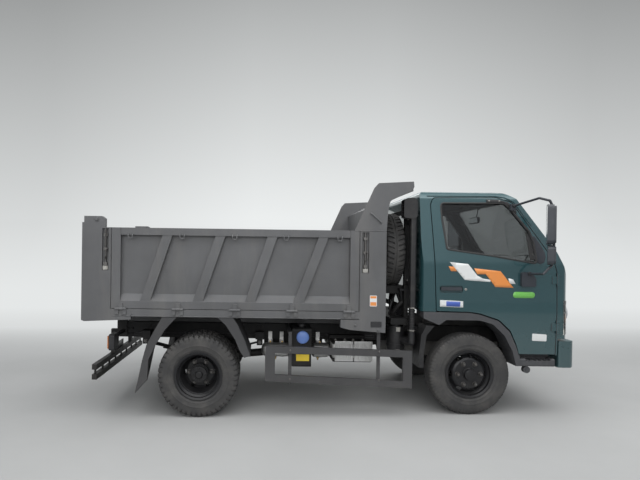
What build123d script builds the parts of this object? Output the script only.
"""Light forward-control tipper truck. Millimetres, +X forward, +Y left, +Z up."""
import os
from math import cos, radians, sin, tan, pi

from build123d import *

os.makedirs("parts", exist_ok=True)

# ---- driving sizes: x is counted from the rear axle, then shifted to the middle of the truck
WHEELBASE = 2600
REAR_END = -1090
FRONT_END = WHEELBASE + 1040
X_MID = (REAR_END + FRONT_END) / 2
TYRE_R = 388
TYRE_W = 196
RIM_R = 231
FRONT_TRACK = 730
REAR_OUTER = 805
REAR_INNER = 575
KINGPIN_Y = 630
# the sprung part of the truck sits nose down by RAKE about this point
RAKE = 0.8
RAKE_X = 1300
RAKE_Z = 1200

# ladder frame
RAIL_Y = 350
RAIL_W = 60
RAIL_T = 7
FRAME_TOP = 800
RAIL_H = 160
FRAME_BOTTOM = FRAME_TOP - RAIL_H
FRAME_REAR = -905
FRAME_FRONT = WHEELBASE + 870
# the bay between the wheels, where tanks and guards hang; its pieces stretch with the wheelbase
BAY_REAR = 600
BAY_FRONT = WHEELBASE - 600
BAY_DRAWN = 1400


def bay(x):
    """A place in the bay, drawn for a bay 1400 long."""
    return BAY_REAR + (x - BAY_REAR) * (BAY_FRONT - BAY_REAR) / BAY_DRAWN


CROSS_RAILS = [-780, 235, bay(1150), WHEELBASE - 770, WHEELBASE + 730]

# bed
BED_Y = 930
POST_DEPTH = 60
BED_REAR = REAR_END
GATE_REAR = -809
GATE_FRONT = WHEELBASE - 1085
SEAM = 5
POST_FRONT = WHEELBASE - 832
SILL_BOTTOM = 938
SILL_TOP = 1005
GATE_BOTTOM = SILL_TOP + SEAM
GATE_TOP = 1768
GATE_T = 50
FLOOR_TOP = 990
FLOOR_T = 6
FLOOR_Y = BED_Y - POST_DEPTH - 1
RUNNER_BOTTOM = FRAME_TOP + 8
RUNNER_TOP = 920
BED_HINGE_X = -870
BED_HINGE_Z = 850
BED_PIN_R = 18
GATE_PIN_Y = BED_Y + 13
GATE_PIN_Z = SILL_TOP + SEAM / 2
GATE_PIN_R = 6
GATE_HINGES = 5
TAIL_PIN_X = -950
TAIL_PIN_Z = 1843
TAIL_PIN_R = 12

# cab
CAB_REAR = WHEELBASE - 470
CAB_Y = 850
CAB_WALL = 42
TUNNEL_Y = 458
DOOR_GAP = 8
DOOR_HINGE_X = WHEELBASE + 826
DOOR_HINGE_Y = CAB_Y + 6
DOOR_PIN_R = 5
CAB_HINGE_X = WHEELBASE + 960
CAB_HINGE_Z = 690

# hoist
HOIST_FOOT_X = 330
HOIST_FOOT_Z = 690
HOIST_EYE_X = 1350
HOIST_EYE_Z = 868

# towing hole in the rear cross member
TOW_X = -868
TOW_Z = 640
TOW_R = 18
TOW_T = 24

# running fits and seats
PIN_FIT = 0.05
SEAT = 0.3


# ---- helpers
def block(x0, x1, y0, y1, z0, z1):
    return Pos((x0 + x1) / 2, (y0 + y1) / 2, (z0 + z1) / 2) * Box(abs(x1 - x0), abs(y1 - y0), abs(z1 - z0))


def rod_y(x, z, r, y0, y1):
    return Pos(x, (y0 + y1) / 2, z) * Rot(90, 0, 0) * Cylinder(r, abs(y1 - y0))


def rod_x(y, z, r, x0, x1):
    return Pos((x0 + x1) / 2, y, z) * Rot(0, 90, 0) * Cylinder(r, abs(x1 - x0))


def rod_z(x, y, r, z0, z1):
    return Pos(x, y, (z0 + z1) / 2) * Cylinder(r, abs(z1 - z0))


def rod(a, b, r):
    """A round bar from point a to point b."""
    a, b = Vector(*a), Vector(*b)
    return Solid.make_cylinder(r, (b - a).length, Plane(origin=a, z_dir=b - a))


def pipe(points, r):
    """A bent round bar: straight lengths with a ball in each bend."""
    bar = rod(points[0], points[1], r)
    for a, b in zip(points[1:-1], points[2:]):
        bar = bar + Pos(*a) * Sphere(r) + rod(a, b, r)
    return bar


def outline(corners):
    """A closed flat face from (u, v, radius) corners, each rounded by its radius."""
    edges, ends = [], []
    count = len(corners)
    for i, (u, v, r) in enumerate(corners):
        here = Vector(u, v)
        back = Vector(*corners[i - 1][:2]) - here
        ahead = Vector(*corners[(i + 1) % count][:2]) - here
        if r <= 0:
            ends.append((here, here))
            continue
        half = back.get_angle(ahead) / 2
        reach = r / tan(radians(half))
        middle = (back.normalized() + ahead.normalized()).normalized()
        centre = here + middle * (r / sin(radians(half)))
        start, end = here + back.normalized() * reach, here + ahead.normalized() * reach
        edges.append(ThreePointArc(start, centre - middle * r, end))
        ends.append((start, end))
    for i in range(count):
        a, b = ends[i - 1][1], ends[i][0]
        if (b - a).length > 1e-4:
            edges.append(Line(a, b))
    return make_face(Wire(edges))


def poly(points):
    return outline([(u, v, 0) for u, v in points])


def along_y(face, y0, y1):
    """A face drawn as (x, z), thick from y0 to y1."""
    return Pos(0, max(y0, y1), 0) * Rot(90, 0, 0) * extrude(face, abs(y1 - y0))


def along_x(face, x0, x1):
    """A face drawn as (y, z), thick from x0 to x1."""
    return Pos(min(x0, x1), 0, 0) * Plane.YZ.location * extrude(face, abs(x1 - x0))


def along_z(face, z0, z1):
    """A face drawn as (x, y), thick from z0 to z1."""
    return Pos(0, 0, min(z0, z1)) * extrude(face, abs(z1 - z0))


def both(shape):
    """The shape and its twin on the other side of the truck."""
    return shape + mirror(shape, Plane.XZ)


def twin(shape):
    return mirror(shape, Plane.XZ)


def wheel_form(profile, x, y, side):
    """A turned piece from (distance outboard, radius, corner radius), axis along Y."""
    ring = revolve(Rot(0, 0, 0) * outline(profile), Axis.X, 360)
    return Pos(x, side * y, TYRE_R) * Rot(0, 0, 90 * side) * ring


def turned_x(profile, x, y, z):
    """A turned piece from (distance forward, radius, corner radius), axis along X."""
    return Pos(x, y, z) * revolve(outline(profile), Axis.X, 360)


def moved(corners, x):
    """Side outline corners, drawn from the front axle, put at x."""
    return [(u + x, v, r) for u, v, r in corners]


def sprung(shape):
    """Puts a piece of the sprung truck at its nose-down rest."""
    return Pos(RAKE_X, 0, RAKE_Z) * Rot(0, RAKE, 0) * Pos(-RAKE_X, 0, -RAKE_Z) * shape


PARTS = {}


def keep(name, shape, rides_low=True):
    PARTS[name] = Pos(-X_MID, 0, 0) * (sprung(shape) if rides_low else shape)


# ---- wheels: tyres, rims, hubs
HUB_R = 62
SPINDLE_R = 30
STUDS = 6
STUD_CIRCLE = 111


BEAD_R = RIM_R - 17 + SEAT
# tyre section, outer half: distance from the middle plane, radius
TYRE_SECTION = [(TYRE_W / 2 - 28, BEAD_R), (TYRE_W / 2, RIM_R + 62), (TYRE_W / 2 - 6, TYRE_R - 26),
                (TYRE_W / 2 - 22, TYRE_R)]


def tyre_profile():
    half = [(u, r, 0) for u, r in TYRE_SECTION]
    return half + [(-u, r, 0) for u, r, _ in reversed(half)]


def tyre(x, y, side):
    return wheel_form(tyre_profile(), x, y, side)


# the discs are welded into the rim's well at WELD_R; the rear pair is dished to meet between the twin wheels
WELD_R = RIM_R - 41
REAR_MID = (REAR_OUTER + REAR_INNER) / 2
DISH = REAR_OUTER - REAR_MID
DISC_T = 14
PROFILE_FRONT_DISC = [(70, 0, 0), (70, 138, 0), (58, 156, 0), (22, 180, 0), (20, WELD_R, 0), (6, WELD_R, 0),
                      (8, 180, 0), (46, 150, 0),
                      (56, 134, 0), (56, 0, 0)]
# outer disc of the pair: distance from the plane where the two meet, radius
REAR_DISC = [(DISC_T, 0), (DISC_T, 132), (DISH - 84, 152), (DISH + 8, 181), (DISH + 14, WELD_R),
             (DISH - 4, WELD_R),
             (DISH - 8, 187), (DISH - 92, 162), (4, 141)]
SPARE_DISC = [(14, 0, 0), (14, 134, 0), (24, 160, 0), (28, WELD_R, 0), (14, WELD_R, 0), (10, 166, 0),
              (4, 140, 0), (4, 0, 0)]


def rim_profile():
    """Rim section: flanges, bead seats and the well in the middle."""
    half = TYRE_W / 2 - 22 + SEAT
    seat, well, wall = RIM_R - 17, RIM_R - 36, 9
    outer = [(half + 12, RIM_R), (half, RIM_R), (half, seat), (52, seat), (32, well)]
    inner = [(32, well - wall), (52, seat - wall), (half + 6, seat - wall), (half + 12, RIM_R - wall)]
    profile = outer + [(-u, r) for u, r in outer[::-1]] + [(-u, r) for u, r in inner[::-1]] + inner
    return [(u, r, 0) for u, r in profile]


def barrel_form(x, y, side):
    return wheel_form(rim_profile(), x, y, side)


def hand_holes(disc, x, y, side, holes, radius, long, wide, reach):
    """Cuts oval hand holes on a circle, reach deep to both sides of y."""
    for i in range(holes):
        angle = 360 / holes * (i + 0.5)
        hole = Pos(0, 0, radius) * Rot(90, 0, 0) * extrude(SlotOverall(long, wide), reach, both=True)
        disc = disc - Pos(x, side * y, TYRE_R) * Rot(0, angle, 0) * hole
    return disc


def on_circle(x, z, radius, count, start=0):
    for i in range(count):
        angle = radians(start + 360 / count * i)
        yield x + radius * cos(angle), z + radius * sin(angle)


def hub_form(x, side, y_in, y_face, y_cap, r_cap, y_nuts):
    """Hub barrel from y_in to the disc face, cap beyond it, nuts on the stud circle."""
    hub = rod_y(x, TYRE_R, HUB_R, side * y_in, side * y_face)
    hub = hub + rod_y(x, TYRE_R, r_cap, side * y_face, side * y_cap)
    for nx, nz in on_circle(x, TYRE_R, STUD_CIRCLE, STUDS):
        hub = hub + rod_y(nx, nz, 15, side * (y_face - 4), side * y_nuts)
    return hub


FRONT_FACE = FRONT_TRACK + 70
REAR_FACE = REAR_MID + DISC_T
for side, word in ((-1, "right"), (1, "left")):
    front_hub = hub_form(WHEELBASE, side, KINGPIN_Y + 48 + SEAT, FRONT_FACE, FRONT_FACE + 42, 52,
                         FRONT_FACE + 22)
    front_disc = wheel_form(PROFILE_FRONT_DISC, WHEELBASE, FRONT_TRACK, side)
    front_disc = hand_holes(front_disc, WHEELBASE, FRONT_TRACK, side, 6, 164, 58, 24, 90)
    spindle_bore = rod_y(WHEELBASE, TYRE_R, SPINDLE_R + PIN_FIT, side * KINGPIN_Y, side * (FRONT_FACE - 20))
    front_rim = barrel_form(WHEELBASE, FRONT_TRACK, side) + front_disc + front_hub - spindle_bore
    keep(f"front_tyre_{word}", tyre(WHEELBASE, FRONT_TRACK, side), False)
    keep(f"front_rim_{word}", front_rim, False)

    hub = hub_form(0, side, REAR_INNER - 42 + SEAT, REAR_FACE, REAR_FACE + 112, 76, REAR_FACE + 22)
    hub = hub + rod_y(0, TYRE_R, 128, side * (REAR_INNER - 20), side * (REAR_FACE - 2 * DISC_T + 2))
    hub = hub + rod_y(0, TYRE_R, 88, side * REAR_FACE, side * (REAR_FACE + 70))
    half = [(u, r, 0) for u, r in REAR_DISC]
    pair = wheel_form(half + [(-u, r, c) for u, r, c in reversed(half)], 0, REAR_MID, side)
    pair = hand_holes(pair, 0, REAR_MID, side, 6, 146, 50, 24, 60)
    rims = barrel_form(0, REAR_OUTER, side) + barrel_form(0, REAR_INNER, side) + pair + hub
    rims = rims - rod_y(0, TYRE_R, 45 + PIN_FIT, side * (REAR_INNER - 60), side * (REAR_FACE - 10))
    keep(f"rear_tyres_{word}", tyre(0, REAR_OUTER, side) + tyre(0, REAR_INNER, side), False)
    keep(f"rear_rims_{word}", rims, False)

# ---- axles and steering
BEAM_Z = 330
beam = block(WHEELBASE - 32, WHEELBASE + 32, -KINGPIN_Y + 95, KINGPIN_Y - 95, BEAM_Z - 35, BEAM_Z + 35)
beam = beam - both(block(WHEELBASE + 10, WHEELBASE + 40, 0, 500, BEAM_Z - 22, BEAM_Z + 22))
beam = beam - both(block(WHEELBASE - 40, WHEELBASE - 10, 0, 500, BEAM_Z - 22, BEAM_Z + 22))
for side in (-1, 1):
    end = along_x(
        poly([(KINGPIN_Y - 110, BEAM_Z - 35), (KINGPIN_Y - 40, TYRE_R - 38), (KINGPIN_Y - 20, TYRE_R - 38),
              (KINGPIN_Y - 20, TYRE_R + 38),
              (KINGPIN_Y - 60, TYRE_R + 38), (KINGPIN_Y - 120, BEAM_Z + 35)]),
        WHEELBASE - 28, WHEELBASE + 28,
    )
    beam = beam + (end if side > 0 else twin(end))
    beam = beam + rod_z(WHEELBASE, side * KINGPIN_Y, 30, TYRE_R - 38, TYRE_R + 38)
for side in (-1, 1):
    beam = beam - rod_z(WHEELBASE, side * KINGPIN_Y, 15 + PIN_FIT, 200, 600)
for side in (-1, 1):
    beam = beam + block(WHEELBASE - 60, WHEELBASE + 60, side * 355, side * 435, BEAM_Z + 20, BEAM_Z + 52)
keep("front_axle", beam, False)

for side, word in ((-1, "right"), (1, "left")):
    fork = block(WHEELBASE - 30, WHEELBASE + 30, side * (KINGPIN_Y - 26), side * (KINGPIN_Y + 36), TYRE_R + 39,
                 TYRE_R + 66)
    fork = fork + block(WHEELBASE - 30, WHEELBASE + 30, side * (KINGPIN_Y - 26), side * (KINGPIN_Y + 36),
                        TYRE_R - 66, TYRE_R - 39)
    fork = fork + block(WHEELBASE - 30, WHEELBASE + 30, side * (KINGPIN_Y + 36), side * (KINGPIN_Y + 48),
                        TYRE_R - 66, TYRE_R + 66)
    fork = fork + rod_z(WHEELBASE, side * KINGPIN_Y, 15, TYRE_R - 70, TYRE_R + 70)
    fork = fork + rod_y(WHEELBASE, TYRE_R, SPINDLE_R, side * (KINGPIN_Y + 44), side * (FRONT_FACE - 22))
    fork = fork + block(WHEELBASE - 150, WHEELBASE - 20, side * (KINGPIN_Y - 28), side * (KINGPIN_Y + 2),
                        TYRE_R - 66, TYRE_R - 46)
    keep(f"knuckle_{word}", fork, False)

AXLE_R = 55
axle = rod_y(0, TYRE_R, AXLE_R, -(REAR_INNER - 42), REAR_INNER - 42)
axle = axle + both(rod_y(0, TYRE_R, 45, REAR_INNER - 50, REAR_FACE - 12))
axle = axle + Pos(0, 0, TYRE_R) * Sphere(165)
axle = axle - block(-300, -150, -300, 300, 200, 600)
axle = axle + rod_x(0, TYRE_R, 95, -172, -140) + rod_x(0, TYRE_R + 10, 60, 100, 215)
axle = axle + both(block(-70, 70, 378, 452, TYRE_R + 30, TYRE_R + 66))
keep("rear_axle", axle, False)


def spring(x, y, length, z_mid, z_eye, leaves):
    """A leaf spring pack: a bowed main leaf with eyes, and shorter leaves under it."""
    pack = None
    for i in range(leaves):
        half = length / 2 * (1 - 0.15 * i)
        drop = z_eye - z_mid
        low = z_mid - 10 * i
        rise = drop * (half / (length / 2)) ** 2
        face = poly([(x - half, low + rise), (x - half / 2, low + rise / 4), (x, low),
                     (x + half / 2, low + rise / 4),
                     (x + half, low + rise), (x + half, low + rise + 10), (x + half / 2, low + rise / 4 + 10),
                     (x, low + 10), (x - half / 2, low + rise / 4 + 10), (x - half, low + rise + 10)])
        leaf = along_y(face, y - 32, y + 32)
        pack = leaf if pack is None else pack + leaf
    for end in (-1, 1):
        pack = pack + rod_y(x + end * length / 2, z_eye + 5, 20, y - 34 + SEAT, y + 34 - SEAT)
    clamp = block(x - 62, x + 62, y - 38, y + 38, z_mid - 110, z_mid + 24)
    return pack + clamp


FRONT_SPRING_Y = 395
REAR_SPRING_Y = 415
FRONT_EYE_Z = 560
REAR_EYE_Z = 620
springs = both(spring(WHEELBASE, FRONT_SPRING_Y, 1100, BEAM_Z + 52 + 78, FRONT_EYE_Z - 5, 6))
springs = springs + both(spring(0, REAR_SPRING_Y, 1180, TYRE_R + 66 + 62, REAR_EYE_Z - 5, 8))
seats_cut = block(WHEELBASE - 200, WHEELBASE + 200, -600, 600, BEAM_Z - 60, BEAM_Z + 52)
seats_cut = seats_cut + block(-200, 200, -600, 600, TYRE_R - 60, TYRE_R + 66)
keep("leaf_springs", sprung(springs) - seats_cut, False)

# ---- ladder frame
rail = block(FRAME_REAR, FRAME_FRONT, RAIL_Y - RAIL_W, RAIL_Y, FRAME_BOTTOM, FRAME_TOP)
rail = rail - block(FRAME_REAR - 1, FRAME_FRONT + 1, RAIL_Y - RAIL_W - 1, RAIL_Y - RAIL_T,
                    FRAME_BOTTOM + RAIL_T, FRAME_TOP - RAIL_T)
frame = both(rail)
for x in CROSS_RAILS:
    frame = frame + block(x - 35, x + 35, -RAIL_Y + RAIL_T, RAIL_Y - RAIL_T, FRAME_BOTTOM + 15,
                          FRAME_BOTTOM + 105)
# spring hangers on both rails: x, z of the eye, y of the spring
for x, z, y in ((-590, REAR_EYE_Z, REAR_SPRING_Y), (590, REAR_EYE_Z, REAR_SPRING_Y),
                (WHEELBASE - 550, FRONT_EYE_Z, FRONT_SPRING_Y), (WHEELBASE + 550, FRONT_EYE_Z, FRONT_SPRING_Y)):
    hanger = block(x - 45, x + 45, RAIL_Y, y + 50, z + 30, z + 105)
    hanger = hanger + block(x - 30, x + 30, y + 34, y + 50, z - 30, z + 60)
    hanger = hanger + block(x - 30, x + 30, RAIL_Y - 4, y - 34, z - 30, z + 60)
    frame = frame + both(hanger)
# bed hinge ears at the rear, cab hinge ears at the front, hoist foot in the middle
frame = frame + both(block(BED_HINGE_X - 45, BED_HINGE_X + 60, RAIL_Y, RAIL_Y + 14, FRAME_BOTTOM + 20,
                           BED_HINGE_Z + 36))
frame = frame - both(rod_y(BED_HINGE_X, BED_HINGE_Z, BED_PIN_R + PIN_FIT, RAIL_Y - 10, RAIL_Y + 30))
frame = frame + both(block(FRAME_FRONT - 90, CAB_HINGE_X + 30, RAIL_Y, RAIL_Y + 12, CAB_HINGE_Z - 40,
                           CAB_HINGE_Z + 36))
frame = frame - both(rod_y(CAB_HINGE_X, CAB_HINGE_Z, 14 + PIN_FIT, RAIL_Y - 10, RAIL_Y + 30))
frame = frame + both(block(HOIST_FOOT_X - 65, HOIST_FOOT_X + 40, 62, 78, FRAME_BOTTOM + 15, HOIST_FOOT_Z + 40))
frame = frame - rod_y(HOIST_FOOT_X, HOIST_FOOT_Z, 18 + PIN_FIT, -100, 100)
frame = frame + block(TOW_X - 45, -780, -70, 70, TOW_Z - TOW_T / 2, TOW_Z + TOW_T / 2)
frame = frame + block(-815, -780, -70, 70, TOW_Z - TOW_T / 2, FRAME_BOTTOM + 60)
frame = frame - rod_z(TOW_X, 0, TOW_R, TOW_Z - 40, TOW_Z + 40)
keep("ladder_frame", frame)

# ---- drive line
GEARBOX_REAR = WHEELBASE - 670
engine = block(WHEELBASE - 250, WHEELBASE + 630, -250, 250, 470, 860)
engine = engine + rod_x(0, 560, 120, GEARBOX_REAR, WHEELBASE - 240)
for x in (WHEELBASE - 120, WHEELBASE + 500):
    engine = engine + both(block(x - 40, x + 40, 240, RAIL_Y - RAIL_T - SEAT, 680, 730))
keep("engine", engine)
shaft_ends = ((215, 0, 401), (300, 0, 409), (GEARBOX_REAR - 90, 0, 544), (GEARBOX_REAR - 5, 0, 551))
shaft = rod(shaft_ends[1], shaft_ends[2], 42) + rod(shaft_ends[0], shaft_ends[1], 30)
shaft = shaft + rod(shaft_ends[2], shaft_ends[3], 30)
keep("propshaft", shaft - axle - sprung(engine), False)

# ---- hoist ram under the bed
foot = Vector(HOIST_FOOT_X, 0, HOIST_FOOT_Z)
eye = Vector(HOIST_EYE_X, 0, HOIST_EYE_Z)
line = (eye - foot).normalized()
BARREL_END = 940


def along_ram(distance):
    point = foot + line * distance
    return (point.X, 0, point.Z)


barrel = rod(along_ram(60), along_ram(BARREL_END), 58) + rod(along_ram(0), along_ram(80), 34)
barrel = barrel + rod_y(foot.X, foot.Z, 40, -56, 56)
barrel = barrel + rod_y(foot.X, foot.Z, 18, -82, 82)
barrel = barrel - rod(along_ram(90), along_ram(BARREL_END + 1), 36 + PIN_FIT)
keep("hoist_barrel", barrel)
ram = rod(along_ram(100), (eye.X, 0, eye.Z), 36) + rod_y(eye.X, eye.Z, 40, -45, 45)
keep("hoist_rod", ram)

# ---- bed: floor with cross members and sills, then runners, then rear posts
FLOOR_REAR = -1030
floor = block(FLOOR_REAR, POST_FRONT - 33, -FLOOR_Y, FLOOR_Y, FLOOR_TOP - FLOOR_T, FLOOR_TOP)
floor = floor + both(block(GATE_REAR - SEAM, GATE_FRONT + SEAM, FLOOR_Y, BED_Y, SILL_BOTTOM, SILL_TOP))
BEARERS = 9
BEARER_PITCH = (POST_FRONT - 88 + 960) / (BEARERS - 1)
for i in range(BEARERS):
    x = -960 + i * BEARER_PITCH
    floor = floor + block(x - 25, x + 25, -FLOOR_Y, FLOOR_Y, RUNNER_TOP, FLOOR_TOP - FLOOR_T)
floor = floor + block(BED_REAR, FLOOR_REAR, -FLOOR_Y, FLOOR_Y, 900, FLOOR_TOP - 4)
GATE_PITCH = (GATE_FRONT - GATE_REAR - 186) / (GATE_HINGES - 1)
HINGES = [GATE_REAR + 93 + i * GATE_PITCH for i in range(GATE_HINGES)]
for x in HINGES:
    for end in (-1, 1):
        floor = floor + both(rod_x(GATE_PIN_Y, GATE_PIN_Z, 12, x + end * 21, x + end * 52))
        floor = floor + both(block(x + end * 21, x + end * 52, BED_Y - 4, GATE_PIN_Y, SILL_TOP - 50,
                                   SILL_TOP - 4))
    floor = floor + both(rod_x(GATE_PIN_Y, GATE_PIN_Z, GATE_PIN_R, x - 40, x + 40))
keep("bed_floor", floor)

# runners end in an eye round the tipping hinge, so that they clear the rails as the bed goes up
EYE_R = BED_HINGE_Z - RUNNER_BOTTOM
runner_side = poly([(BED_HINGE_X, RUNNER_BOTTOM), (POST_FRONT - 28, RUNNER_BOTTOM),
                    (POST_FRONT - 28, RUNNER_TOP),
                    (BED_REAR + 20, RUNNER_TOP), (BED_REAR + 20, BED_HINGE_Z + 20),
                    (BED_HINGE_X, BED_HINGE_Z + 20)])
runners = both(along_y(runner_side, 270, 340) + rod_y(BED_HINGE_X, BED_HINGE_Z, EYE_R, 270, 340))
runners = runners + both(rod_y(BED_HINGE_X, BED_HINGE_Z, BED_PIN_R, 300, RAIL_Y + 22))
for side in (-1, 1):
    ear = block(HOIST_EYE_X - 60, HOIST_EYE_X + 60, side * 55, side * 70, HOIST_EYE_Z - 45, RUNNER_TOP)
    runners = runners + ear
runners = runners + block(HOIST_EYE_X - 70, HOIST_EYE_X + 70, -270, 270, RUNNER_TOP - 8, RUNNER_TOP - SEAT / 2)
keep("bed_runners", runners - floor)

post_side = outline([
    (BED_REAR + 2, 895, 0), (-1060, 884, 0), (-622, 905, 0), (-622, SILL_BOTTOM - SEAT, 0),
                     (GATE_REAR - SEAM - SEAT, SILL_BOTTOM - SEAT, 0),
    (GATE_REAR - SEAM - SEAT, GATE_TOP, 0), (-875, GATE_TOP, 0), (-875, 1850, 0), (-905, 1872, 0),
    (-1070, 1872, 0), (-1070, 1813, 0), (BED_REAR + 2, 1813, 0),
])
LATCH_SLOT = (-898, -838, 1366, 1759)
posts = along_y(post_side, BED_Y - POST_DEPTH, BED_Y)
posts = posts - block(LATCH_SLOT[0], LATCH_SLOT[1], BED_Y - 22, BED_Y + 1, LATCH_SLOT[2], LATCH_SLOT[3])
posts = posts - rod_y(TAIL_PIN_X, TAIL_PIN_Z, TAIL_PIN_R + PIN_FIT, BED_Y - 80, BED_Y + 10)
keep("bed_posts", both(posts) - floor)

# ---- headboard with its front posts, side wings and forward hood
# side outlines: x from the back of the cab's gap (POST_FRONT), z, corner radius
FRONT_POST = [(GATE_FRONT + SEAM - POST_FRONT, GATE_TOP, 0), (0, GATE_TOP, 0), (0, 812, 0), (-332, 836, 0),
              (-421, 858, 0),
              (-421, SILL_BOTTOM - 6, 0), (GATE_FRONT + SEAM - POST_FRONT, SILL_BOTTOM - 6, 0)]
WING = [(-299, GATE_TOP, 0), (-121, 2170, 0), (-79, 2217, 0), (249, 2236, 0), (254, 2186, 0), (236, 2150, 0),
        (32, 2052, 40), (12, 1960, 0), (0, GATE_TOP, 0)]
HOOD = [(-32, 2034, 0), (246, 2180, 0), (246, 2188, 0), (-32, 2042, 0)]
HOOD_Y = BED_Y - 4
headboard = both(along_y(outline(moved(FRONT_POST, POST_FRONT)), BED_Y - POST_DEPTH, BED_Y))
headboard = headboard - both(block(POST_FRONT - 228, POST_FRONT - 163, BED_Y - 22, BED_Y + 1, 1372, 1752))
headboard = headboard + both(along_y(outline(moved(WING, POST_FRONT)), BED_Y - 8, BED_Y))
headboard = headboard + block(POST_FRONT - 32, POST_FRONT - 26, -872, 872, FLOOR_TOP - 60, 2040)
headboard = headboard + along_y(outline(moved(HOOD, POST_FRONT)), -HOOD_Y, HOOD_Y)
# a folded lip stiffens the hood's front edge, and two rails brace the board
headboard = headboard + block(POST_FRONT + 236, POST_FRONT + 246, -HOOD_Y, HOOD_Y, 2146, 2186)
for z in (1340, 1700):
    headboard = headboard + block(POST_FRONT - 26, POST_FRONT - 8, -872, 872, z - 30, z + 30)
for y in (-600, -300, 0, 300, 600):
    headboard = headboard + block(POST_FRONT - 26, POST_FRONT - 2, y - 25, y + 25, SILL_BOTTOM, 2036)
headboard = headboard + block(POST_FRONT - 68, POST_FRONT, -872, 872, FLOOR_TOP - 60,
                              FLOOR_TOP - FLOOR_T - SEAT)
keep("headboard", headboard - floor - runners)

# ---- drop-side gates
GATE_IN = BED_Y - GATE_T
gate = block(GATE_REAR, GATE_FRONT, GATE_IN, BED_Y, 1700, GATE_TOP)
gate = gate + block(GATE_REAR, GATE_FRONT, GATE_IN, BED_Y, GATE_BOTTOM, 1080)
gate = gate + block(GATE_REAR, GATE_REAR + 84, GATE_IN, BED_Y, GATE_BOTTOM, GATE_TOP)
gate = gate + block(GATE_FRONT - 84, GATE_FRONT, GATE_IN, BED_Y, GATE_BOTTOM, GATE_TOP)
gate = gate + block(GATE_REAR, GATE_FRONT, GATE_IN, GATE_IN + 5, GATE_BOTTOM, GATE_TOP)
ledge = poly([(GATE_IN, 1078), (BED_Y - 2, 1078), (GATE_IN + 5, 1145), (GATE_IN, 1145)])
gate = gate + along_x(ledge, GATE_REAR, GATE_FRONT)
# slanted ribs: where the foot and the head stand, as shares of the gate's length
RIBS = [(0.137, 0.225), (0.349, 0.439), (0.560, 0.649), (0.756, 0.856)]
for foot_at, head_at in RIBS:
    foot_x = GATE_REAR + foot_at * (GATE_FRONT - GATE_REAR)
    head_x = GATE_REAR + head_at * (GATE_FRONT - GATE_REAR)
    rib = poly([(foot_x - 46, 1080), (foot_x + 46, 1080), (head_x + 46, 1705), (head_x - 46, 1705)])
    gate = gate + along_y(rib, GATE_IN + 2, BED_Y - 4)
for x in HINGES:
    knuckle = rod_x(GATE_PIN_Y, GATE_PIN_Z, 12, x - 20, x + 20)
    knuckle = knuckle + block(x - 20, x + 20, BED_Y - 2, GATE_PIN_Y, GATE_BOTTOM + 4, GATE_BOTTOM + 52)
    gate = gate + knuckle - rod_x(GATE_PIN_Y, GATE_PIN_Z, GATE_PIN_R + PIN_FIT, x - 60, x + 60)
keep("side_gate_left", gate)
keep("side_gate_right", twin(gate))

# ---- tailgate, hung from the rear posts' tops
tail_y = BED_Y - POST_DEPTH - SEAM
tail = block(BED_REAR + 4, -1076, -tail_y, tail_y, 1000, 1765)
for z in (1000, 1350, 1700):
    tail = tail + block(BED_REAR + 4, -1040, -tail_y, tail_y, z, z + 65)
for y in (-(tail_y - 40), -430, 0, 430, tail_y - 40):
    tail = tail + block(BED_REAR + 4, -1040, y - 40, y + 40, 1000, 1765)
arm = poly([(-1080, 1700), (-1040, 1700), (TAIL_PIN_X + 30, TAIL_PIN_Z - 20),
            (TAIL_PIN_X + 30, TAIL_PIN_Z + 25),
            (TAIL_PIN_X - 30, TAIL_PIN_Z + 25), (-1080, 1790)])
tail = tail + both(along_y(arm, tail_y - 22, tail_y))
tail = tail + both(rod_y(TAIL_PIN_X, TAIL_PIN_Z, TAIL_PIN_R, tail_y - 10, BED_Y + 6))
keep("tailgate", tail)

# ---- cab: one hollow body from three outlines, with windows, arches and door holes cut
# side outline corners: x from the front axle, z, corner radius
CAB_SIDE = [
    (-470, 1010, 0), (-470, 2178, 70), (330, 2188, 160), (470, 2110, 60), (830, 1592, 90), (948, 1330, 220),
    (972, 1150, 120), (952, 765, 0), (840, 765, 0), (840, 605, 0), (478, 605, 0),
    (450, 700, 0), (390, 832, 60), (280, 935, 80), (100, 992, 60), (-10, 1008, 0),
]
# front outline corners, right half: y, z, corner radius
CAB_FRONT = [(CAB_Y - 22, 600, 0), (CAB_Y, 1000, 500), (CAB_Y - 6, 1480, 300), (CAB_Y - 102, 2160, 105),
             (400, 2216, 900)]
# plan outline corners, left half: x from the front axle, y, corner radius
CAB_PLAN = [(-470, CAB_Y + 10, 60), (935, CAB_Y + 10, 125), (990, 560, 500)]


def cab_form(inset):
    """The whole cab block, smaller by inset all round."""
    side_face = outline(moved(CAB_SIDE, WHEELBASE))
    front_face = outline(CAB_FRONT + [(-y, z, r) for y, z, r in reversed(CAB_FRONT)])
    plan_half = moved(CAB_PLAN, WHEELBASE)
    plan_face = outline(plan_half + [(x, -y, r) for x, y, r in reversed(plan_half)])
    if inset:
        side_face, front_face, plan_face = (offset(f, -inset) for f in (side_face, front_face, plan_face))
    form = along_y(side_face, -1000, 1000) & along_x(front_face, WHEELBASE - 700, WHEELBASE + 1200)
    return form & along_z(plan_face, 400, 2400)


def from_front(face, x_from=400):
    """A face drawn as (y, z), reaching out through the front of the cab."""
    return along_x(face, WHEELBASE + x_from, WHEELBASE + 1200)


def door_side(gap):
    """The slab beside the cabin that the door fills, wider by gap on its inside."""
    line = [(786, 500), (786, 1150), (775, 1500), (640, 2200), (1000, 2200), (1000, 500)]
    return along_x(poly([(y - (gap if y < 1000 else 0), z) for y, z in line]), WHEELBASE - 600,
                   WHEELBASE + 1200)


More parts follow.
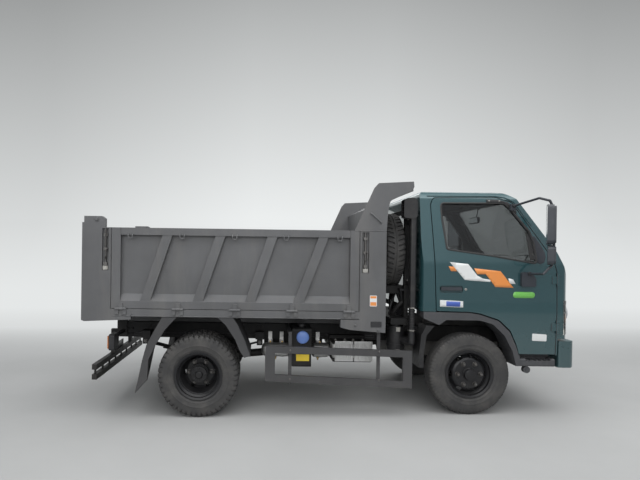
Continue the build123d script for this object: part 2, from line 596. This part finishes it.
# door and window outlines: x from the front axle, z, corner radius
DOOR_OUT = [
    (-324, 1016, 0), (-350, 1740, 0), (-364, 2040, 0), (-338, 2104, 30), (280, 2112, 40), (420, 2070, 60),
    (785, 1520, 60), (818, 1400, 60), (821, 612, 0), (476, 612, 0), (444, 715, 30),
    (385, 838, 60), (270, 940, 60), (100, 996, 60), (-10, 1012, 0),
]
WINDOW = [
    (-219, 1612, 20), (-255, 1900, 40), (-264, 2050, 25), (350, 2056, 40), (400, 2010, 30), (570, 1786, 40),
    (605, 1690, 20), (626, 1486, 20), (200, 1556, 200),
]
# front face pieces: y, z, corner radius
SCREEN = [(740, 1500, 60), (650, 2085, 70), (-650, 2085, 70), (-740, 1500, 60)]
REAR_LIGHT = [(560, 1620, 60), (520, 1990, 60), (-520, 1990, 60), (-560, 1620, 60)]
GRILLE = [(520, 1030, 30), (500, 1180, 30), (-500, 1180, 30), (-520, 1030, 30)]
LAMP = [(600, 845, 40), (560, 1010, 50), (640, 1105, 60), (900, 1140, 0), (900, 800, 0), (700, 812, 60)]
LAMP_BACK = 888
LAMP_DEEP = CAB_WALL - 4
GRILLE_DEEP = 30

door_face = outline(moved(DOOR_OUT, WHEELBASE))
window_face = outline(moved(WINDOW, WHEELBASE))
cab_outer = cab_form(0)
cab_inner = cab_form(CAB_WALL)
TUNNEL_TOP = 868
tunnel = block(CAB_REAR - 130, WHEELBASE + 890, -TUNNEL_Y, TUNNEL_Y, 500, TUNNEL_TOP)
tunnel_in = block(CAB_REAR - 130, WHEELBASE + 890 + CAB_WALL, -TUNNEL_Y - CAB_WALL, TUNNEL_Y + CAB_WALL, 500,
                  TUNNEL_TOP + CAB_WALL)
shell = (cab_outer - tunnel) - (cab_inner - tunnel_in)
SIDE_IN = 640
screen_prism = from_front(outline(SCREEN), 440)
rear_prism = along_x(outline(REAR_LIGHT), CAB_REAR - 130, CAB_REAR + 120)
body = shell - both(along_y(offset(door_face, DOOR_GAP), SIDE_IN, 1000) & door_side(DOOR_GAP)) - screen_prism
body = body - rear_prism
# pockets for the lamps and the grille
skin_30 = cab_outer - cab_form(GRILLE_DEEP)
skin_38 = cab_outer - cab_form(LAMP_DEEP)
body = body - both(skin_38 & from_front(outline(LAMP), LAMP_BACK)) - (skin_30 & from_front(outline(GRILLE)))
# cab hinge lugs and pins
hinge_lug = block(CAB_HINGE_X - 30, CAB_HINGE_X - 8, RAIL_Y + 18, RAIL_Y + 60, CAB_HINGE_Z - 20, 800)
hinge_lug = hinge_lug + rod_y(CAB_HINGE_X, CAB_HINGE_Z, 22, RAIL_Y + 18, RAIL_Y + 60)
body = body + both(hinge_lug) + both(rod_y(CAB_HINGE_X, CAB_HINGE_Z, 14, RAIL_Y - 6, RAIL_Y + 40))
# door hinges: z of each barrel's foot; the barrel rides on the door, the pin and its lugs on the cab
DOOR_HINGES = [840, 1290]
BARREL_H = 70
for z in DOOR_HINGES:
    pocket = rod_z(DOOR_HINGE_X, DOOR_HINGE_Y, 16, z - 28, z + BARREL_H + 28)
    lugs = rod_z(DOOR_HINGE_X, DOOR_HINGE_Y, 9, z - 26, z - 2)
    lugs = lugs + rod_z(DOOR_HINGE_X, DOOR_HINGE_Y, 9, z + BARREL_H + 2, z + BARREL_H + 26)
    for low in (z - 26, z + BARREL_H + 2):
        lugs = lugs + block(DOOR_HINGE_X, DOOR_HINGE_X + 40, DOOR_HINGE_Y - 22, DOOR_HINGE_Y - 2, low, low + 24)
    pin = rod_z(DOOR_HINGE_X, DOOR_HINGE_Y, DOOR_PIN_R, z - 10, z + BARREL_H + 10)
    body = body - both(pocket) + both(lugs + pin)
keep("cab_body", body)

pane = cab_form(16) - cab_form(21)
glass = (pane & from_front(offset(outline(SCREEN), -SEAT), 440))
glass = glass + (pane & along_x(offset(outline(REAR_LIGHT), -SEAT), CAB_REAR - 130, CAB_REAR + 120))
keep("cab_glass", glass)
door = (shell & along_y(door_face, SIDE_IN, 1000) & door_side(0)) - along_y(window_face, SIDE_IN, 1000)
# a finger cup behind each handle
HANDLE = (-296, -76, 1193, 1259)
handle_mid = ((HANDLE[0] + HANDLE[1]) / 2 + WHEELBASE, (HANDLE[2] + HANDLE[3]) / 2)
cup = along_y(Pos(handle_mid[0], handle_mid[1]) * RectangleRounded(HANDLE[1] - HANDLE[0], HANDLE[3] - HANDLE[2],
                                                                   20), CAB_Y - 26, CAB_Y + 40)
door = door - cup
for z in DOOR_HINGES:
    knuckle = rod_z(DOOR_HINGE_X, DOOR_HINGE_Y, 9, z, z + BARREL_H)
    knuckle = knuckle + block(DOOR_HINGE_X - 50, DOOR_HINGE_X, DOOR_HINGE_Y - 16, DOOR_HINGE_Y - 2, z,
                              z + BARREL_H)
    door = door - rod_z(DOOR_HINGE_X, DOOR_HINGE_Y, 16, z - 30, z + BARREL_H + 30) + knuckle
    door = door - rod_z(DOOR_HINGE_X, DOOR_HINGE_Y, DOOR_PIN_R + PIN_FIT, z - 5, z + BARREL_H + 5)
keep("door_left", door)
keep("door_right", twin(door))
door_glass = pane & along_y(offset(window_face, -SEAT), SIDE_IN, 1000)
keep("door_glass_left", door_glass)
keep("door_glass_right", twin(door_glass))
grip = along_y(Pos(handle_mid[0], handle_mid[1] + 4) * RectangleRounded(HANDLE[1] - HANDLE[0] - 20, 30, 12),
               CAB_Y - 12, CAB_Y + 8)
for end in (-1, 1):
    grip = grip + block(handle_mid[0] + end * 88 - 9, handle_mid[0] + end * 88 + 9, CAB_Y - 26 + SEAT,
                        CAB_Y - 8, handle_mid[1] - 8, handle_mid[1] + 16)
grip = grip - door
keep("door_handle_left", grip)
keep("door_handle_right", twin(grip))

# ---- cab trim and inside
# flare outline: x from the front axle, z, corner radius
FLARE = [(-450, 1006, 0), (-450, 945, 0), (-300, 882, 0), (-234, 931, 20), (86, 931, 60), (210, 899, 80),
         (325, 790, 80), (403, 640, 60), (439, 501, 0), (472, 501, 0), (472, 596, 0), (462, 604, 0),
         (434, 694, 0),
         (374, 826, 60), (266, 929, 80), (90, 986, 60), (-12, 1002, 0)]
flare = along_y(outline(moved(FLARE, WHEELBASE)), SIDE_IN, CAB_Y + 5)
STEP_X = (WHEELBASE + 473, WHEELBASE + 810)
step_end = outline([(600, 497, 0), (CAB_Y - 2, 497, 14), (CAB_Y - 2, 570, 14), (600, 570, 0)])
step = along_x(step_end, STEP_X[0] - 2, STEP_X[1]) + block(STEP_X[0], STEP_X[1], 700, 740, 570, 604.7)
step = step - block(STEP_X[0] + 60, STEP_X[1] - 40, CAB_Y - 90, CAB_Y, 552, 580)
for i in range(5):
    step = step + block(STEP_X[0] + 70 + i * 46, STEP_X[0] + 84 + i * 46, CAB_Y - 90, CAB_Y - 3, 550, 562)
horn = rod_y(WHEELBASE + 554, 462, 33, CAB_Y - 60, CAB_Y - 20)
horn = horn + rod_y(WHEELBASE + 554, 462, 14, CAB_Y - 66, CAB_Y - 14)
horn = horn + block(WHEELBASE + 546, WHEELBASE + 562, CAB_Y - 60, CAB_Y - 50, 470, 500)
keep("arch_flares_and_steps", both(flare + step + horn))

lamp_region = from_front(offset(outline(LAMP), -SEAT), LAMP_BACK + SEAT)
lamp = (cab_form(-5) - cab_form(LAMP_DEEP - SEAT)) & lamp_region & door_side(300)
keep("headlamps", both(lamp) - body)

grille_region = from_front(offset(outline(GRILLE), -SEAT))
bars = None
for z in (1052, 1088, 1124, 1160):
    bar = block(WHEELBASE + 700, WHEELBASE + 1100, -560, 560, z - 7, z + 7)
    bars = bar if bars is None else bars + bar
frame_ring = grille_region - from_front(offset(outline(GRILLE), -14))
grille = (cab_form(2) - cab_form(GRILLE_DEEP - SEAT)) & (frame_ring + (bars & grille_region))
grille = grille + ((cab_form(GRILLE_DEEP - 6) - cab_form(GRILLE_DEEP - SEAT)) & grille_region)
keep("grille", grille)

# dashboard side outline: x from the front axle, z, corner radius
DASH = [(900, 1180, 0), (650, 1180, 30), (588, 1290, 40), (600, 1400, 50), (700, 1462, 60), (900, 1470, 0)]
HOOD_OVER_DIALS = [(588, 1380, 0), (596, 1500, 30), (700, 1520, 40), (780, 1440, 0)]
dash = along_y(outline(moved(DASH, WHEELBASE)), -760, 760)
dash = dash + along_y(outline(moved(HOOD_OVER_DIALS, WHEELBASE)), 210, 570)
dash = dash - block(WHEELBASE + 560, WHEELBASE + 620, 240, 540, 1415, 1490)
dash = dash - block(WHEELBASE + 560, WHEELBASE + 612, -130, 130, 1230, 1380)
keep("dashboard", dash & cab_form(CAB_WALL + 1))
RIM_TILT = 28
wheel_at = (WHEELBASE + 480, 390, 1500)
wheel_ring = Pos(*wheel_at) * Rot(0, -RIM_TILT, 0) * (Torus(200, 15) + Cylinder(52, 34) + Box(390, 34, 12)
                                                      + Box(34, 390, 12))
column = rod(wheel_at, (WHEELBASE + 630, 390, 1300), 28)
keep("steering_wheel", wheel_ring + column - dash)

# seats: side outlines of cushion, back and head rest, x from the front axle
SEAT_Z = 1051.2
CUSHION = [(-290, SEAT_Z, 10), (270, SEAT_Z, 20), (296, 1130, 40), (270, 1212, 50), (-160, 1192, 30),
           (-200, 1160, 0)]
BACK = [(-300, 1070, 20), (-180, 1070, 30), (-150, 1180, 30), (-226, 1770, 32), (-300, 1770, 32)]
HEAD = [(-300, 1780, 30), (-226, 1780, 30), (-226, 1950, 32), (-300, 1950, 32)]
seats = None
for y, w, headed in ((400, 440, True), (-60, 340, False), (-440, 380, True)):
    cushion = along_y(outline(moved(CUSHION, WHEELBASE)), y - w / 2, y + w / 2)
    cushion = cushion & along_z(outline([(WHEELBASE - 400, y - w / 2, 0), (WHEELBASE + 300, y - w / 2, 60),
                                         (WHEELBASE + 300, y + w / 2, 60), (WHEELBASE - 400, y + w / 2, 0)]),
                                1000, 1400)
    back_face = outline([(y - w / 2, 1060, 20), (y - w / 2 + 20, 1775, 80), (y + w / 2 - 20, 1775, 80),
                         (y + w / 2, 1060, 20)])
    back = along_y(outline(moved(BACK, WHEELBASE)), y - w / 2, y + w / 2) & along_x(back_face, CAB_REAR,
                                                                                    WHEELBASE + 400)
    seat = cushion + back
    if headed:
        head_face = outline([(y - 110, 1780, 30), (y - 120, 1950, 60), (y + 120, 1950, 60),
                             (y + 110, 1780, 30)])
        seat = seat + (along_y(outline(moved(HEAD, WHEELBASE)), y - 130, y + 130)
                       & along_x(head_face, CAB_REAR, WHEELBASE + 400))
        for post_y in (y - 50, y + 50):
            seat = seat + rod_z(WHEELBASE - 262, post_y, 7, 1740, 1800)
    seats = seat if seats is None else seats + seat
keep("seats", seats)

# ---- mirrors, carried on the doors
ARM = [(410, 800, 2030), (530, 1040, 2084), (615, 1060, 2060), (658, 1060, 1980), (658, 1060, 1600),
       (640, 1060, 1470), (570, 1050, 1390), (540, 870, 1385)]


MIRROR_TOE = 28  # degrees that each head is turned towards the driver


def mirror_head(x, y, z, thick, wide, tall):
    """A cupped mirror head, its glass facing back and a little inwards."""
    shell_face = Pos(y, z) * RectangleRounded(wide, tall, 38)
    head = along_x(shell_face, x - thick / 2, x + thick / 4)
    head = head + along_x(offset(shell_face, -14), x + thick / 4, x + thick / 2)
    head = head - along_x(offset(shell_face, -8), x - thick / 2 - 1, x - thick / 2 + 5)
    return Pos(x, y, 0) * Rot(0, 0, MIRROR_TOE) * Pos(-x, -y, 0) * head


arm = pipe([(x + WHEELBASE, y, z) for x, y, z in ARM], 11)
base_side = outline(moved([(470, 1262, 14), (470, 1398, 14), (560, 1398, 30), (605, 1340, 30), (605, 1262, 14)],
                          WHEELBASE))
arm = arm + along_y(base_side, 846, 880) + block(WHEELBASE + 390, WHEELBASE + 440, 780, 812, 1990, 2050)
mirrors = arm + mirror_head(WHEELBASE + 622, 1075, 1840, 72, 190, 360)
mirrors = mirrors + mirror_head(WHEELBASE + 628, 1075, 1565, 64, 150, 180)
mirrors = mirrors - door - door_glass
keep("mirrors_left", mirrors)
keep("mirrors_right", twin(mirrors))

# ---- things round the frame
# plan and side outlines, x from the front axle
BUMPER_PLAN = [(855, CAB_Y - 20, 20), (1012, CAB_Y - 20, 70), (1040, 620, 300)]
BUMPER_SIDE = [(855, 486, 0), (985, 486, 30), (1028, 520, 40), (1040, 640, 60), (1034, 740, 30), (855, 740, 0)]


def bumper_form(inset):
    half = moved(BUMPER_PLAN, WHEELBASE)
    plan_face = outline(half + [(x, -y, r) for x, y, r in reversed(half)])
    side_face = outline(moved(BUMPER_SIDE, WHEELBASE))
    if inset:
        plan_face, side_face = offset(plan_face, -inset), offset(side_face, -inset)
    return along_z(plan_face, 400, 800) & along_y(side_face, -900, 900)


BUMPER_T = 12
bumper = bumper_form(0) - bumper_form(BUMPER_T) - block(WHEELBASE + 800, WHEELBASE + 875, -760, 760, 400, 800)
bumper = bumper - block(WHEELBASE + 840, WHEELBASE + 1000, -700, 700, 480, 510)
bumper = bumper - block(WHEELBASE + 840, WHEELBASE + 1010, -700, 700, 715, 745)
# the cab turns about its hinge inside the bumper, so the top is open there
intake = from_front(outline([(330, 530, 20), (350, 610, 20), (-350, 610, 20), (-330, 530, 20)]), 880)
slots = None
for z in (548, 576, 604):
    slot = block(WHEELBASE + 880, WHEELBASE + 1100, -360, 360, z - 14, z - 4)
    slots = slot if slots is None else slots + slot
fog = both(rod_x(560, 590, 46, WHEELBASE + 900, WHEELBASE + 1100))
bumper = bumper - (intake & slots) - (fog - bumper_form(6))
lugs = block(FRAME_FRONT + SEAT, WHEELBASE + 1032, 300, 340, 560, 640)
lugs = lugs + block(FRAME_FRONT - 60, FRAME_FRONT + 30, 300, 340, 560, FRAME_BOTTOM - SEAT)
bumper = bumper + (both(lugs) & bumper_form(2))
bumper = bumper + both(block(FRAME_FRONT - 60, FRAME_FRONT + 20, 300, 340, 560, FRAME_BOTTOM - SEAT))
keep("front_bumper", bumper)

# spare wheel, upright behind the cab with its axle along the truck
SPARE_X = WHEELBASE - 674
SPARE_Y = -330
SPARE_Z = 1590
keep("spare_tyre", turned_x(tyre_profile(), SPARE_X, SPARE_Y, SPARE_Z))
spare_rim = turned_x(rim_profile(), SPARE_X, SPARE_Y, SPARE_Z)
spare_rim = spare_rim + turned_x(SPARE_DISC, SPARE_X, SPARE_Y, SPARE_Z)
keep("spare_rim", spare_rim)
carrier = both(block(WHEELBASE - 720, WHEELBASE - 640, 290, 340, FRAME_TOP, 860))
carrier = carrier + block(WHEELBASE - 720, WHEELBASE - 530, -700, 700, 860, 920)
for y in (-600, -100):
    carrier = carrier + block(WHEELBASE - 570, WHEELBASE - 530, y - 25, y + 25, 900, 2000)
carrier = carrier + block(WHEELBASE - 570, WHEELBASE - 530, -600, -100, 1555, 1625)
carrier = carrier + block(WHEELBASE - 570, WHEELBASE - 530, -600, -100, 1960, 2000)
cradle = block(WHEELBASE - 760, WHEELBASE - 530, SPARE_Y - 210, SPARE_Y + 210, SPARE_Z - TYRE_R - 50,
               SPARE_Z - TYRE_R + 30)
cradle = cradle - rod_x(SPARE_Y, SPARE_Z, TYRE_R + SEAT, WHEELBASE - 800, WHEELBASE - 572)
carrier = carrier + cradle + rod_x(SPARE_Y, SPARE_Z, 80, SPARE_X + 14 + SEAT, WHEELBASE - 560)
keep("spare_carrier", carrier)

# air intake: a hooded mouth beside the roof, a flat duct down the cab's back, bellows and canister
DUCT_X = WHEELBASE - 540
DUCT_Y = -775
duct_plan = Pos(DUCT_X, DUCT_Y) * RectangleRounded(60, 80, 18)
snorkel = along_z(duct_plan, 1040, 1960)
hood_side = outline(moved([(-640, 1905, 20), (-640, 2080, 30), (-600, 2096, 30), (-510, 2096, 40),
                           (-510, 1890, 40)], WHEELBASE))
hood_form = along_y(hood_side, DUCT_Y - 50, DUCT_Y + 50)
mouth = block(WHEELBASE - 645, WHEELBASE - 600, DUCT_Y - 38, DUCT_Y + 38, 1925, 2070)
for i in range(6):
    mouth = mouth - block(WHEELBASE - 632, WHEELBASE - 600, DUCT_Y - 40, DUCT_Y + 40, 1940 + i * 24,
                          1946 + i * 24)
snorkel = snorkel + hood_form - mouth
for z in (1270, 1870):
    snorkel = snorkel + block(DUCT_X - 20, DUCT_X + 2, -740, -625 - SEAT, z - 20, z + 20)
bellows = rod_z(DUCT_X, DUCT_Y, 28, 800, 1045)
for i in range(8):
    bellows = bellows + rod_z(DUCT_X, DUCT_Y, 35, 826 + i * 25, 838 + i * 25)
snorkel = snorkel + bellows
keep("intake_snorkel", snorkel)
CLEANER_X = WHEELBASE - 645
cleaner = rod_z(CLEANER_X, -600, 85, 545, 838)
for z in (560, 640, 790):
    cleaner = cleaner + rod_z(CLEANER_X, -600, 91, z, z + 22)
cleaner = cleaner + rod_z(CLEANER_X, -600, 60, 838, 855)
cleaner = cleaner + pipe([(DUCT_X, DUCT_Y, 800 - SEAT), (DUCT_X, DUCT_Y, 700), (CLEANER_X + 35, -640, 700)], 34)
cleaner = cleaner + block(CLEANER_X - 35, CLEANER_X + 35, -540, -RAIL_Y - SEAT, 680, 760)
keep("air_cleaner", cleaner)

# fuel tank on the left: a rounded box on two brackets with straps
TANK_X = (bay(750), bay(1350))
TANK_SECTION = [(420, 360, 60), (800, 360, 60), (800, 690, 60), (420, 690, 60)]
tank = along_x(outline(TANK_SECTION), *TANK_X) + rod_z(TANK_X[1] - 100, 700, 40, 680, 715)
tank = tank + rod_z(TANK_X[1] - 100, 700, 46, 710, 730)
for x in (TANK_X[0] + 100, TANK_X[1] - 220):
    strap = along_x(offset(outline(TANK_SECTION), 5), x - 20, x + 20)
    tank = tank + strap + block(x - 25, x + 25, RAIL_Y + SEAT, 425, 560, 660)
    tank = tank + block(x - 25, x + 25, RAIL_Y + SEAT, 380, 650, 760)
keep("fuel_tank", tank)
# exhaust box on the left, ahead of the fuel tank
MUFFLER = [(0, 0, 0), (0, 70, 0), (20, 88, 0), (340, 88, 0), (360, 70, 0), (360, 0, 0)]
muffler_x = bay(1400)
exhaust = turned_x(MUFFLER, muffler_x, 560, 520) + rod_x(560, 520, 28, muffler_x - 25, muffler_x + 470)
for x in (muffler_x + 60, muffler_x + 300):
    exhaust = exhaust + block(x - 15, x + 15, RAIL_Y + SEAT, 560, 596, 616)
    exhaust = exhaust + block(x - 15, x + 15, RAIL_Y + SEAT, 372, 600, 720)
keep("exhaust", exhaust)

# oil tank of the hoist on the right
OIL_X = (bay(912), bay(1100))
oil = along_x(outline([(-700, 425, 30), (-700, 815, 30), (-420, 815, 30), (-420, 425, 30)]), *OIL_X)
oil = oil + rod_z((OIL_X[0] + OIL_X[1]) / 2, -640, 34, 810, 835)
oil = oil + rod_z((OIL_X[0] + OIL_X[1]) / 2, -640, 24, 835, 846)
keep("hydraulic_tank", oil + block(OIL_X[0] + 45, OIL_X[1] - 45, -425, -RAIL_Y - SEAT, 660, 740))
AIR_Y = -560
AIR_Z = 570
AIR_R = 70


def air_tank(x0, x1):
    ends = [(0, 0, 0), (0, 28, 0), (16, 58, 0), (34, AIR_R, 0)]
    far = [(x1 - x0 - u, r, 0) for u, r, _ in reversed(ends)]
    return turned_x(ends + far, x0, AIR_Y, AIR_Z)


air = air_tank(bay(610), bay(905)) + air_tank(bay(1106), bay(1306))
for x in (bay(700), bay(820), bay(1200)):
    air = air + block(x - 20, x + 20, -510, -RAIL_Y - SEAT, 590, 640)
    air = air + block(x - 20, x + 20, -RAIL_Y - 30, -RAIL_Y - SEAT, 640, 720)
    band = turned_x([(x - 16, AIR_R - 4, 0), (x - 16, AIR_R + 4, 0), (x + 16, AIR_R + 4, 0),
                     (x + 16, AIR_R - 4, 0)], 0, AIR_Y, AIR_Z)
    air = air + band
keep("air_tanks", air)

# batteries: ribbed cases side by side, a tray under them and a lid held by two rods
CASE_Y = (-690, -440)
CASE_Z = (505, 655)
CASES = [(bay(1325), bay(1490)), (bay(1505), bay(1670))]
battery = None
for x0, x1 in CASES:
    case = block(x0, x1, *CASE_Y, *CASE_Z)
    ribs = 6
    for i in range(ribs):
        x = x0 + (x1 - x0) * (i + 0.5) / ribs
        case = case + block(x - 7, x + 7, CASE_Y[0] - 5, CASE_Y[0], CASE_Z[0] + 12, CASE_Z[1] - 30)
    case = case + block(x0 - 4, x1 + 4, CASE_Y[0] - 5, CASE_Y[1], CASE_Z[1] - 22, CASE_Z[1])
    battery = case if battery is None else battery + case
keep("batteries", battery)
TRAY_X = (CASES[0][0] - 12, CASES[1][1] + 16)
tray = block(*TRAY_X, -704, -430, 485, CASE_Z[0] - SEAT) + block(*TRAY_X, -430, -RAIL_Y - SEAT, 600, 700)
tray = tray + block(*TRAY_X, -436, -430, 485, 700) + block(*TRAY_X, -704, -699, 485, 525)
lid = block(*TRAY_X, -698, -436, CASE_Z[1] + SEAT, CASE_Z[1] + 14)
keep("battery_tray", tray + lid)

# side guards: bars as x and z at the rear end, then at the front end; drawn for the standard bay
GUARD_Y = (870, 905)
GUARD_BARS = [
    (644, 2031, 669, 641, 606, 578), (644, 2031, 402, 350, 338, 287), (644, 738, 669, 667, 338, 335),
    (1946, 2031, 643, 641, 290, 287),
]
guard = None
for x0, x1, top0, top1, low0, low1 in GUARD_BARS:
    bar = along_y(poly([(bay(x0), low0), (bay(x1), low1), (bay(x1), top1), (bay(x0), top0)]), *GUARD_Y)
    guard = bar if guard is None else guard + bar
for x in (bay(880), bay(1720)):
    guard = guard + block(x - 16, x + 16, 858, 870.5, 310, 800)
    guard = guard + block(x - 16, x + 16, RAIL_Y + SEAT, 870, 770, 800)
keep("side_guards", both(guard))

mud = None
for corners, y0 in (
    ([(175, 949), (325, 951), (381, 868), (447, 728), (503, 579), (447, 559), (400, 634), (362, 727),
      (268, 866)], 900),
    ([(-322, 942), (-182, 944), (-303, 811), (-388, 670), (-453, 528), (-463, 340), (-575, 217), (-547, 339),
      (-510, 527),
      (-472, 668), (-397, 810)], 900),
):
    lip = along_y(poly(corners), y0, BED_Y - 2)
    mud = lip if mud is None else mud + lip
for points in (
    [(325, 951), (381, 868), (447, 728), (503, 579), (497, 577), (441, 726), (376, 866), (321, 947)],
    [(-322, 942), (-397, 810), (-472, 668), (-510, 527), (-547, 339), (-575, 217), (-569, 216), (-541, 338),
     (-504, 526), (-466, 666), (-391, 808), (-317, 938)],
):
    mud = mud + along_y(poly(points), 450, BED_Y - 2)
mud = mud + block(300, 330, RAIL_Y + SEAT, 460, 760, 790) + block(-420, -390, RAIL_Y + SEAT, 460, 730, 760)
mud = mud + block(300, 420, 440, 470, 760, 790) + block(-440, -390, 440, 470, 730, 760)
mud = mud - block(-700, 700, 400, 888, 912, 1000) - block(-700, 700, 880, 1000, 931, 1000)
keep("rear_mudguards", both(mud))
FRONT_MUD = [(-415, 875, 0), (-338, 872, 0), (-414, 780, 0), (-438, 600, 0), (-438, 470, 0), (-484, 470, 0),
             (-482, 620, 0), (-464, 780, 0)]
front_mud = along_y(outline(moved(FRONT_MUD, WHEELBASE)), 640, 840)
front_mud = front_mud + block(WHEELBASE - 478, WHEELBASE - 450, RAIL_Y + SEAT, 645, 700, 740)
keep("front_mudguards", both(front_mud))

underrun = None
UNDERRUN_X = (-1000, -955)
UNDERRUN_Y = 870
for z0, z1 in ((415, 465), (320, 370)):
    bar = block(*UNDERRUN_X, -UNDERRUN_Y, UNDERRUN_Y, z0, z1)
    underrun = bar if underrun is None else underrun + bar
BAYS = 8
for i in range(BAYS + 1):
    y = -UNDERRUN_Y + 30 + i * (2 * UNDERRUN_Y - 60) / BAYS
    underrun = underrun + block(-985, -970, y - 10, y + 10, 370, 415)
HANGER_TOP = FRAME_BOTTOM + 80
underrun = underrun + both(block(-985, -945, 300, RAIL_Y, 465, HANGER_TOP))
underrun = underrun + both(block(-985, FRAME_REAR - SEAT, 300, RAIL_Y, FRAME_BOTTOM + 20, HANGER_TOP))
keep("rear_underrun", underrun)
lamps = both(along_x(Pos(720, 660) * RectangleRounded(160, 156, 18), -866, -815))
lamps = lamps + both(along_x(Pos(720, 660) * RectangleRounded(140, 136, 12), -872, -866))
lamps = lamps + both(block(-860, -835, RAIL_Y + 14 + SEAT, 645, 690, 720))
keep("tail_lamps", lamps)

for name, shape in PARTS.items():
    export_step(shape, f"parts/{name}.step")
print(len(PARTS), "parts written")
